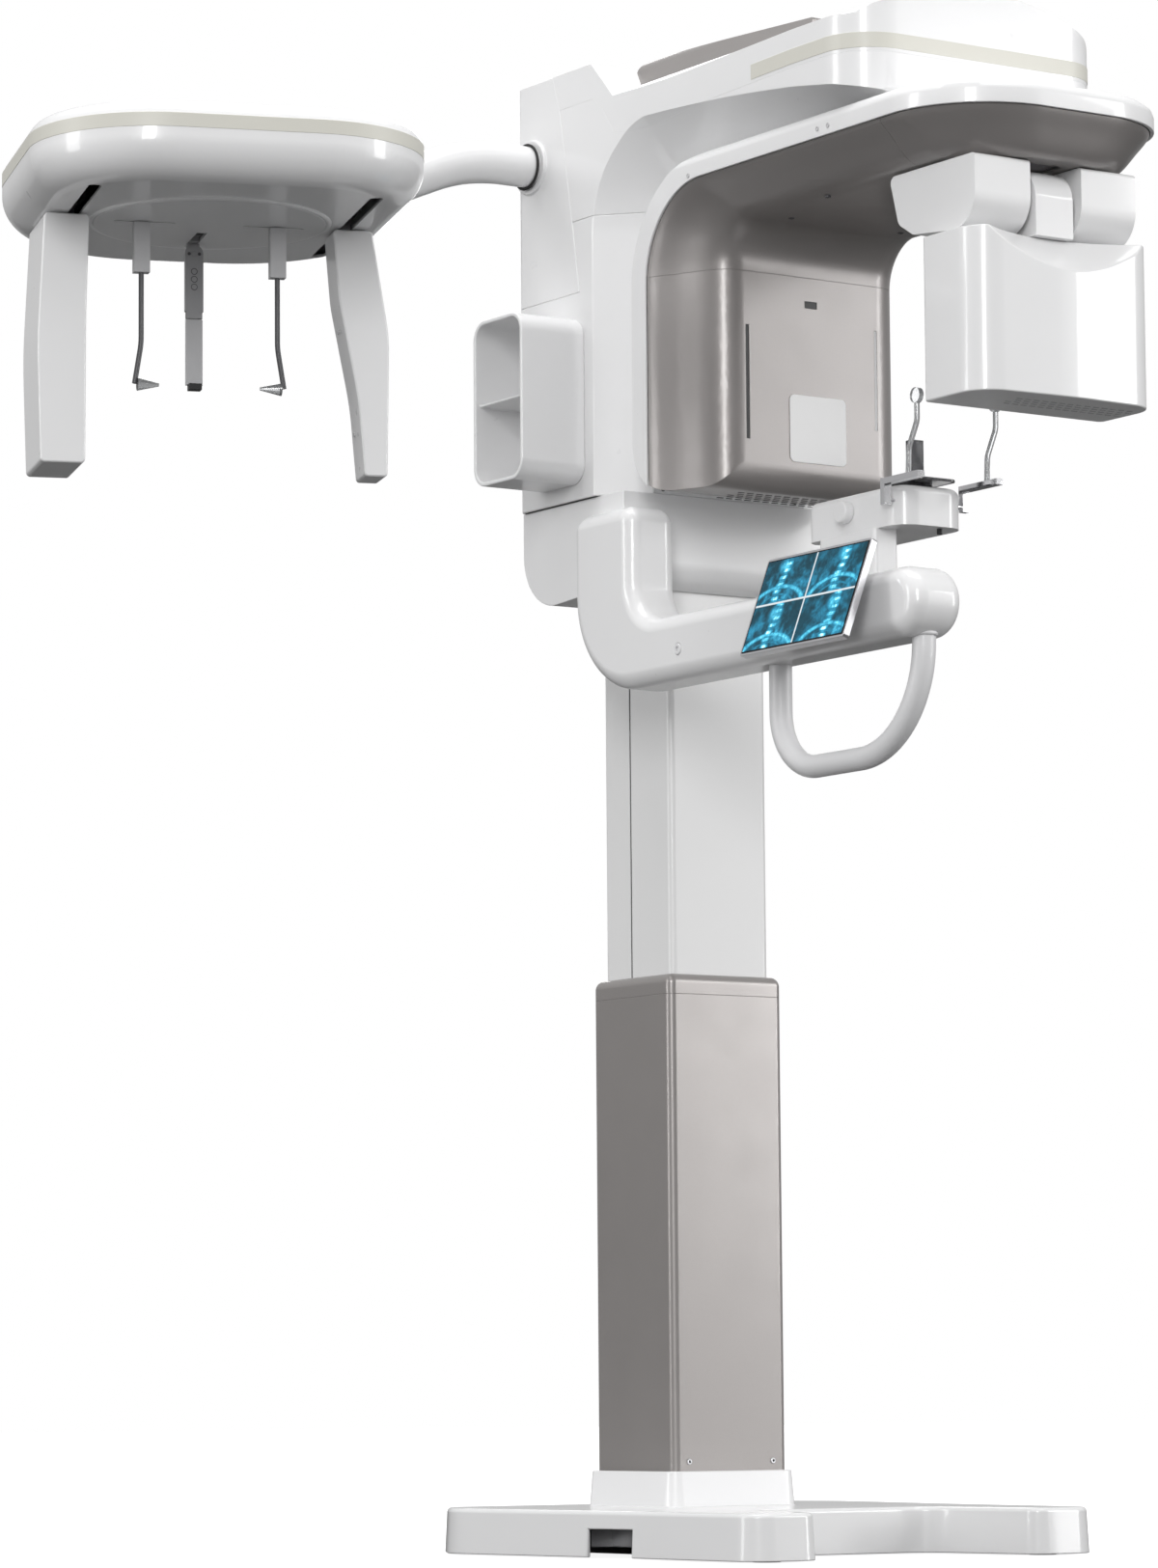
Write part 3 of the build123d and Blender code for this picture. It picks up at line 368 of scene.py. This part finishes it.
def makeCamera():
    data = bpy.data.cameras.new("viewCamera")
    camera = bpy.data.objects.new("viewCamera", data)
    bpy.context.scene.collection.objects.link(camera)
    a, p, r = (math.radians(cameraSizes[k]) for k in ("azimuth", "pitch", "roll"))
    ahead = Vector((-math.sin(a) * math.cos(p), math.cos(a) * math.cos(p), math.sin(p)))
    right = Vector((math.cos(a), math.sin(a), 0))
    above = right.cross(ahead)
    right, above = (right * math.cos(r) + above * math.sin(r), above * math.cos(r) - right * math.sin(r))
    camera.rotation_mode = "QUATERNION"
    turn = Matrix((right, above, -ahead)).transposed()
    camera.rotation_quaternion = turn.to_quaternion()
    camera.location = cameraSizes["place"]
    data.lens = cameraSizes["lens"]
    data.sensor_width = 36.0
    data.clip_start = 0.05
    data.clip_end = 200.0
    bpy.context.scene.camera = camera
    return camera


# lights: energy in watts, place and aim in metres
lightSizes = {
    "keyLight": {"place": (-5.6, -6.6, 3.6), "aim": (0, -0.3, 1.3), "size": (1.6, 4.2), "energy": 268},
    "rightFill": {"place": (5.5, -6.0, 2.6), "aim": (0, -0.3, 1.3), "size": (1.8, 4.5), "energy": 215},
    "leftFill": {"place": (-7.0, 1.5, 2.6), "aim": (0, 0, 1.3), "size": (1.6, 4.5), "energy": 125},
    "topLight": {"place": (-0.5, -0.6, 6.2), "aim": (-0.3, -0.3, 1.0), "size": (4.0, 3.0), "energy": 150},
    "backRim": {"place": (3.0, 5.0, 4.2), "aim": (0, 0, 1.6), "size": (2.4, 3.0), "energy": 60},
}


def makeLights():
    for name, one in lightSizes.items():
        data = bpy.data.lights.new(name, "AREA")
        data.shape = "RECTANGLE"
        data.size, data.size_y = one["size"]
        data.energy = one["energy"]
        lamp = bpy.data.objects.new(name, data)
        bpy.context.scene.collection.objects.link(lamp)
        lamp.location = one["place"]
        aim = Vector(one["aim"]) - Vector(one["place"])
        lamp.rotation_euler = aim.to_track_quat("-Z", "Y").to_euler()
    world = bpy.data.worlds.new("studioAir")
    bpy.context.scene.world = world
    world.use_nodes = True
    tree = world.node_tree
    back = tree.nodes["Background"]
    where = tree.nodes.new("ShaderNodeTexCoord")
    split = tree.nodes.new("ShaderNodeSeparateXYZ")
    tree.links.new(where.outputs["Generated"], split.inputs[0])
    level = rangeMap(tree, split.outputs["Z"], -0.5, 0.5, 0.05, 0.58)
    path = tree.nodes.new("ShaderNodeLightPath")
    strength = tree.nodes.new("ShaderNodeMix")
    tree.links.new(path.outputs["Is Camera Ray"], strength.inputs[0])
    tree.links.new(level, strength.inputs[2])
    strength.inputs[3].default_value = 1.0
    tree.links.new(strength.outputs[0], back.inputs["Strength"])
    back.inputs["Color"].default_value = (1, 1, 1, 1)


def makeFloor():
    deselectAll()
    bpy.ops.mesh.primitive_plane_add(size=60.0, location=(0, 0, -0.0005))
    floor = bpy.context.object
    floor.name = "studioFloor"
    material = bpy.data.materials.new("paleFloor")
    material.use_nodes = True
    tree = material.node_tree
    shader = tree.nodes["Principled BSDF"]
    place = tree.nodes.new("ShaderNodeTexCoord").outputs["Object"]
    path = tree.nodes.new("ShaderNodeLightPath")
    cloudy = noiseAt(tree, place, 0.8)
    seen = mixColour(tree, cloudy, (0.50, 0.50, 0.50), (0.52, 0.52, 0.52))
    paint = mixColour(tree, path.outputs["Is Camera Ray"], (0.13, 0.13, 0.13), seen)
    tree.links.new(paint, shader.inputs["Base Color"])
    shader.inputs["Roughness"].default_value = 0.9
    shader.inputs["Specular IOR Level"].default_value = 0.0
    shader.inputs["Emission Color"].default_value = (1, 1, 1, 1)
    glow = math2(tree, "MULTIPLY", path.outputs["Is Camera Ray"], 0.90)
    tree.links.new(glow, shader.inputs["Emission Strength"])
    setMaterial(floor, material)


makeCamera()
makeLights()
makeFloor()
bpy.context.scene.view_settings.view_transform = "Standard"

# moulded and painted parts: the frame's own shapes with softened edges

coverSizes = {
    # part: (finish, edge radius in metres)
    "base_cover": ("whiteGloss", 0.0016), "column_sleeve": ("taupeMetal", 0.0008),
    "sleeve_cap": ("taupeMetal", 0.0008), "inner_column": ("columnCoat", 0.0006),
    "top_cover": ("whiteGloss", 0.0020), "back_cover": ("whiteGloss", 0.0020),
    "front_cover": ("whiteGloss", 0.0020), "waist_cover": ("whiteGloss", 0.0020),
    "belly_cover": ("whiteGloss", 0.0010), "top_insert": ("taupeMetal", 0.0015),
    "light_strips": ("creamDiffuser", 0.0004), "gantry_shell": ("whiteGloss", 0.0030),
    "nose_cover": ("linerMetal", 0.0016), "tube_head_cover": ("linerMetal", 0.0016),
    "ceiling_liner": ("linerMetal", 0.0016), "fork_blocks": ("whiteGloss", 0.0022),
    "detector_neck": ("whiteGloss", 0.0030), "detector_shell": ("whiteGloss", 0.0040),
    "patient_arm": ("whiteGloss", 0.0008), "handle": ("whiteSatin", 0.0003),
    "side_box": ("whiteGloss", 0.0022), "chin_box_cover": ("whiteGloss", 0.0010),
    "chin_tower": ("whiteGloss", 0.0010), "chin_bracket": ("whiteGloss", 0.0012),
    "chin_and_bite_rest": ("smokedClear", 0.0008), "temple_knob": ("whiteGloss", 0.0008),
    "temple_support_left": ("brightChrome", 0.0006), "temple_support_right": ("brightChrome", 0.0006),
    "height_button": ("blackPlastic", 0.0004), "ceph_tube": ("whiteGloss", 0.0004),
    "ceph_lower_shell": ("whiteGloss", 0.0012), "ceph_top_shell": ("whiteGloss", 0.0010),
    "turntable": ("whiteGloss", 0.0010), "ear_rod_left": ("darkGrey", 0.0006),
    "ear_rod_right": ("darkGrey", 0.0006), "nasion_slider": ("midGrey", 0.0006),
    "nasion_arm": ("midGrey", 0.0008), "nasion_blade": ("paleGrey", 0.0006),
    "sensor_box": ("whiteGloss", 0.0022), "collimator_box": ("whiteGloss", 0.0022),
    "display_bezel": ("machinedAlloy", 0.0008), "levelling_feet": ("plainSteel", 0.0006),
}
bodyOf = {n: b for b, members in frame["record"]["behaviour"]["bodies"].items() for n in members}


def softenedCopy(nodeName, finishName, edge):
    pick(nodes[nodeName])
    bpy.ops.object.duplicate()
    piece = bpy.context.object
    for key in [k for k in piece.keys() if k.startswith("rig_")]:
        del piece[key]
    piece.parent = None
    piece.name = nodeName + "_finished"
    bpy.ops.mesh.customdata_custom_splitnormals_clear()
    bpy.ops.object.mode_set(mode="EDIT")
    bpy.ops.mesh.select_all(action="SELECT")
    bpy.ops.mesh.remove_doubles(threshold=0.00002)
    bpy.ops.mesh.dissolve_limited(angle_limit=math.radians(0.12))
    bpy.ops.object.mode_set(mode="OBJECT")
    bevel = piece.modifiers.new("softEdge", "BEVEL")
    bevel.width = edge
    bevel.segments = 2
    bevel.limit_method = "ANGLE"
    bevel.angle_limit = math.radians(40)
    bevel.use_clamp_overlap = True
    even = piece.modifiers.new("evenShade", "WEIGHTED_NORMAL")
    even.keep_sharp = True
    bpy.ops.object.shade_smooth_by_angle(angle=math.radians(35))
    applyAll(piece)
    setMaterial(piece, finishes[finishName])
    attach(piece, bodyOf[nodeName])
    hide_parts(nodeName)
    return piece


finished = {}
for nodeName, (finishName, edge) in coverSizes.items():
    finished[nodeName] = softenedCopy(nodeName, finishName, edge)
print("softened", len(finished), "parts")

innerFinishes = {
    "base_plate": "plainSteel", "slew_bearing": "plainSteel", "lift_actuator_tube": "plainSteel",
    "pivot_pin": "plainSteel", "carriage_frame": "machinedAlloy", "gantry_frame": "machinedAlloy",
    "gantry_hub": "machinedAlloy", "ceph_frame": "darkGrey", "sensor_slide": "machinedAlloy",
    "collimator_slide": "machinedAlloy", "xray_tube_housing": "machinedAlloy", "glide_pads": "blackPlastic",
    "lift_motor": "blackPlastic", "gantry_motor": "blackPlastic", "head_windows": "blackPlastic",
    "flat_panel": "blackPlastic", "gantry_belt": "rubberBlack", "display_glass": "screenPicture",
}
for nodeName, finishName in innerFinishes.items():
    setMaterial(nodes[nodeName], finishes[finishName])
paintWhere(nodes["head_windows"], finishes["paleGrey"], lambda centre, normal: centre.x > 0.1)

print("finishes set")

# small pieces that the frame leaves out


def selectFaces(piece, test):
    bpy.ops.object.mode_set(mode="EDIT")
    bpy.ops.mesh.select_mode(type="FACE")
    bpy.ops.mesh.select_all(action="DESELECT")
    bpy.ops.object.mode_set(mode="OBJECT")
    for face in piece.data.polygons:
        face.select = test(face)
    bpy.ops.object.mode_set(mode="EDIT")


def turnTo(piece, place, facing):
    piece.rotation_mode = "QUATERNION"
    piece.rotation_quaternion = Vector(facing).to_track_quat("Z", "Y")
    piece.location = place
    settle(piece)


def makePlate(name, size, corner, place, facing=(0, 0, 1), lip=0.0003):
    # a flat plate with round corners, its face towards +Z before it is turned
    deselectAll()
    bpy.ops.mesh.primitive_cube_add(size=1.0)
    plate = bpy.context.object
    plate.name = name
    bpy.ops.object.mode_set(mode="EDIT")
    bpy.ops.mesh.select_all(action="SELECT")
    bpy.ops.transform.resize(value=size)
    bpy.ops.mesh.select_mode(type="EDGE")
    bpy.ops.mesh.select_all(action="DESELECT")
    bpy.ops.object.mode_set(mode="OBJECT")
    for edge in plate.data.edges:
        a, b = (plate.data.vertices[v].co for v in edge.vertices)
        edge.select = abs((a - b).normalized().z) > 0.99
    bpy.ops.object.mode_set(mode="EDIT")
    bpy.ops.mesh.bevel(offset=corner, segments=6, affect="EDGES")
    bpy.ops.object.mode_set(mode="OBJECT")
    edge = plate.modifiers.new("lip", "BEVEL")
    edge.width = lip
    edge.segments = 2
    edge.limit_method = "ANGLE"
    edge.angle_limit = math.radians(50)
    applyAll(plate)
    turnTo(plate, place, facing)
    return plate


def makeScrew(name, radius, place, facing):
    # a low round head with a sunk socket
    deselectAll()
    bpy.ops.mesh.primitive_cylinder_add(vertices=24, radius=radius, depth=radius * 0.5)
    screw = bpy.context.object
    screw.name = name
    selectFaces(screw, lambda face: face.normal.z > 0.9)
    bpy.ops.mesh.inset(thickness=radius * 0.12)
    bpy.ops.transform.translate(value=(0, 0, radius * 0.12))
    bpy.ops.mesh.inset(thickness=radius * 0.40)
    bpy.ops.mesh.extrude_region_move(TRANSFORM_OT_translate={"value": (0, 0, -radius * 0.4)})
    bpy.ops.object.mode_set(mode="OBJECT")
    turnTo(screw, place, facing)
    return screw


def makeRing(name, radius, thick, place, facing=(0, 0, 1), flat=1.0):
    deselectAll()
    bpy.ops.mesh.primitive_torus_add(major_radius=radius, minor_radius=thick, major_segments=64,
                                     minor_segments=12)
    ring = bpy.context.object
    ring.name = name
    bpy.ops.object.mode_set(mode="EDIT")
    bpy.ops.mesh.select_all(action="SELECT")
    bpy.ops.transform.resize(value=(1, 1, flat))
    bpy.ops.object.mode_set(mode="OBJECT")
    turnTo(ring, place, facing)
    return ring


def place(piece, finishName, body, slotName):
    setMaterial(piece, finishes[finishName])
    return finishPiece(piece, body)


headTurn = math.radians(-19.2)
headPlace = Vector((-1.011, -0.322, 0))
headX = Vector((math.cos(headTurn), math.sin(headTurn), 0))
headY = Vector((-math.sin(headTurn), math.cos(headTurn), 0))


def onHead(x, y, z):
    return headPlace + headX * x + headY * y + Vector((0, 0, z))


sleeveSizes = {
    "screwX": 0.0755, "screwZ": 0.134, "screw": 0.0042, "socket": 0.0022,
    "groove": (0.0034, 0.90, 0.0012), "grooveCorner": 0.0012, "grooveSunk": 0.0014,
    "grooveYZ": (0.017, 0.955),
}


def dressColumn():
    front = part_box("column_sleeve")[0].y
    for side in (-1, 1):
        screw = makeScrew("sleeveScrew" + ("Left" if side < 0 else "Right"), sleeveSizes["screw"],
                          (side * sleeveSizes["screwX"], front - 0.0006, sleeveSizes["screwZ"]), (0, -1, 0))
        place(screw, "machinedAlloy", "base", "steel")
        paintWhere(screw, finishes["blackPlastic"],
                   lambda c, n: abs(c.x - side * sleeveSizes["screwX"]) < sleeveSizes["socket"]
                   and abs(c.z - sleeveSizes["screwZ"]) < sleeveSizes["socket"])
        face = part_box("inner_column")[1].x
        strip = makePlate("columnGrooveStrip" + ("Left" if side < 0 else "Right"), sleeveSizes["groove"],
                          sleeveSizes["grooveCorner"],
                          (side * (face - sleeveSizes["grooveSunk"]), *sleeveSizes["grooveYZ"]), (side, 0, 0))
        place(strip, "blackPlastic", "carriage", "dark_plastic")


bodySizes = {
    "screws": (((-0.148, -0.1138, 1.667), (-0.728, -0.684, 0)), ((-0.121, -0.1242, 1.573), (0, -1, 0))),
    "screw": 0.0040, "tubeHole": (0.0336, 0.0022), "tubeAt": (-0.2108, 0.106, 2.094),
}


def dressBody():
    for index, (spot, facing) in enumerate(bodySizes["screws"]):
        for side in (1, -1):
            screw = makeScrew("bodyScrew" + str(index) + ("L" if side > 0 else "R"), bodySizes["screw"],
                              (spot[0] * side, spot[1], spot[2]), (facing[0] * side, facing[1], facing[2]))
            place(screw, "darkGrey", "carriage", "steel")
    radius, thick = bodySizes["tubeHole"]
    ring = makeRing("armGrommet", radius, thick, bodySizes["tubeAt"], (1, 0, 0))
    place(ring, "rubberBlack", "carriage", "rubber")


armSizes = {"plug": (-0.2262, -0.313, 1.303), "handleTops": (-0.503, -0.840), "handleX": -0.182,
            "armUnder": 1.2655, "collar": (0.0180, 0.0020), "plugRadius": 0.0084}


def dressPatientArm():
    cap = makeScrew("armPlug", armSizes["plugRadius"], armSizes["plug"], (-1, 0, 0))
    place(cap, "whiteSatin", "carriage", "white_plastic")
    for index, y in enumerate(armSizes["handleTops"]):
        radius, thick = armSizes["collar"]
        collar = makeRing("handleCollar" + str(index), radius, thick,
                          (armSizes["handleX"], y, armSizes["armUnder"]), flat=1.4)
        place(collar, "whiteSatin", "carriage", "white_plastic")


gantrySizes = {
    "card": {"size": (0.1016, 0.100, 0.0016), "corner": 0.0085, "place": (0.010, -0.3377, 1.6405)},
    "rimDots": ((-0.650, 2.005), (-0.675, 2.005), (-0.330, 1.998)),
    "ceilingHoles": ((0.139, -0.572), (0.099, -0.428)),
    "rimDot": 0.0038, "ceilingHole": 0.0045, "ceilingZ": 1.930, "proud": 0.0004,
    "headVents": {"x": (-0.096, 0.0165, 12), "y": (-0.290, 0.0135, 5), "z": 1.5459,
                  "slot": (0.0115, 0.0045, 0.0006)},
    "detectorVents": {"x": (-0.060, 0.0150, 14), "y": (-0.905, 0.0130, 4), "z": 1.5939,
                      "slot": (0.0100, 0.0040, 0.0006)},
}


def makeVents(name, sizes):
    first = makePlate(name, sizes["slot"], sizes["slot"][1] * 0.45, (0, 0, 0), lip=0.0001)
    startX, stepX, countX = sizes["x"]
    startY, stepY, countY = sizes["y"]
    made = []
    for row in range(countY):
        for column in range(countX):
            pick(first)
            bpy.ops.object.duplicate()
            slot = bpy.context.object
            slot.location = (startX + column * stepX + (row % 2) * stepX * 0.5, startY + row * stepY,
                             sizes["z"])
            settle(slot)
            made.append(slot)
    bpy.data.objects.remove(first)
    return joinPieces(made, name)


def dressGantry():
    card = gantrySizes["card"]
    plate = makePlate("headCard", card["size"], card["corner"], card["place"], (0, -1, 0))
    place(plate, "cardWhite", "gantry", "white_plastic")
    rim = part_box("gantry_shell")[0].x
    for index, (y, z) in enumerate(gantrySizes["rimDots"]):
        for side in (1, -1):
            dot = makeScrew("rimPlug" + str(index) + ("L" if side > 0 else "R"), gantrySizes["rimDot"],
                            (side * (rim + gantrySizes["proud"]), y, z), (-side, 0, 0))
            place(dot, "paleGrey", "gantry", "white_plastic")
    for index, (x, y) in enumerate(gantrySizes["ceilingHoles"]):
        for side in (1, -1):
            hole = makeScrew("ceilingScrew" + str(index) + ("L" if side < 0 else "R"),
                             gantrySizes["ceilingHole"],
                             (side * x, y, gantrySizes["ceilingZ"] + gantrySizes["proud"]), (0, 0, -1))
            place(hole, "darkGrey", "gantry", "steel")
    place(makeVents("headVents", gantrySizes["headVents"]), "blackPlastic", "gantry", "dark_plastic")
    place(makeVents("detectorVents", gantrySizes["detectorVents"]), "midGrey", "detector", "dark_plastic")


headSizes = {
    "ring": (0.1640, 0.0042), "ringZ": 1.8400, "gapInset": 0.0040, "gapThick": 0.0012, "gapZ": 1.8404,
    "boxScrews": ((0.1865, 0.026, 1.700), (0.2085, 0.026, 1.556)), "boxScrew": 0.0030,
    "rodSocketZ": 1.7655, "rodTipZ": 1.6215, "rodTipX": 0.0990, "nasionGripZ": 1.7385, "bladeTipZ": 1.6355,
    "marks": (1.795, 1.784, 1.773), "mark": (0.0042, 0.0005), "markY": 0.1149,
    "nasionScrew": 0.0022, "nasionScrewAt": (0.0072, 0.1146, 1.820),
}


def dressCephHead():
    radius, thick = headSizes["ring"]
    ring = makeRing("turntableRing", radius, thick, onHead(0, 0, headSizes["ringZ"]), flat=0.75)
    place(ring, "whiteGloss", "carriage", "white_plastic")
    # painted shade: a thin black ring laid in the gap just inside the turntable ring, darkening the gap as
    # shade
    gapShadeRing = makeRing("turntableGapShade", radius - headSizes["gapInset"], headSizes["gapThick"],
                       onHead(0, 0, headSizes["gapZ"]), flat=1.0)
    place(gapShadeRing, "blackPlastic", "carriage", "dark_plastic")
    for index, (x, y, z) in enumerate(headSizes["boxScrews"]):
        screw = makeScrew("collimatorScrew" + str(index), headSizes["boxScrew"], onHead(x, y, z),
                          tuple(-headX))
        place(screw, "paleGrey", "ceph_collimator", "white_plastic")
    for name in ("ear_rod_left", "ear_rod_right"):
        rod = finished[name]
        paintWhere(rod, finishes["paleGrey"], lambda c, n: c.z > headSizes["rodSocketZ"])
        paintWhere(rod, finishes["clearPlastic"],
                   lambda c, n: c.z < headSizes["rodTipZ"]
                   and abs((c - headPlace).dot(headX)) < headSizes["rodTipX"])
    arm = finished["nasion_arm"]
    paintWhere(arm, finishes["blackPlastic"], lambda c, n: c.z < headSizes["nasionGripZ"])
    blade = finished["nasion_blade"]
    paintWhere(blade, finishes["blackPlastic"], lambda c, n: c.z < headSizes["bladeTipZ"])
    for index, z in enumerate(headSizes["marks"]):
        ring = makeRing("nasionMark" + str(index), *headSizes["mark"],
                        onHead(0, headSizes["markY"], z), tuple(-headY))
        place(ring, "darkGrey", "nasion_swing_arm", "grey_plastic")
    across, ahead, high = headSizes["nasionScrewAt"]
    for side in (-1, 1):
        screw = makeScrew("nasionScrew" + ("Left" if side < 0 else "Right"), headSizes["nasionScrew"],
                          onHead(side * across, ahead, high), tuple(-headY))
        place(screw, "darkGrey", "nasion_swing_arm", "steel")


chinSizes = {"clearAboveZ": 1.5245}  # the wands above this height are clear plastic


def dressChin():
    for name in ("temple_support_left", "temple_support_right"):
        paintWhere(finished[name], finishes["clearPlastic"], lambda c, n: c.z > chinSizes["clearAboveZ"])


dressColumn()
dressBody()
dressPatientArm()
dressGantry()
dressCephHead()
dressChin()
print("details added")
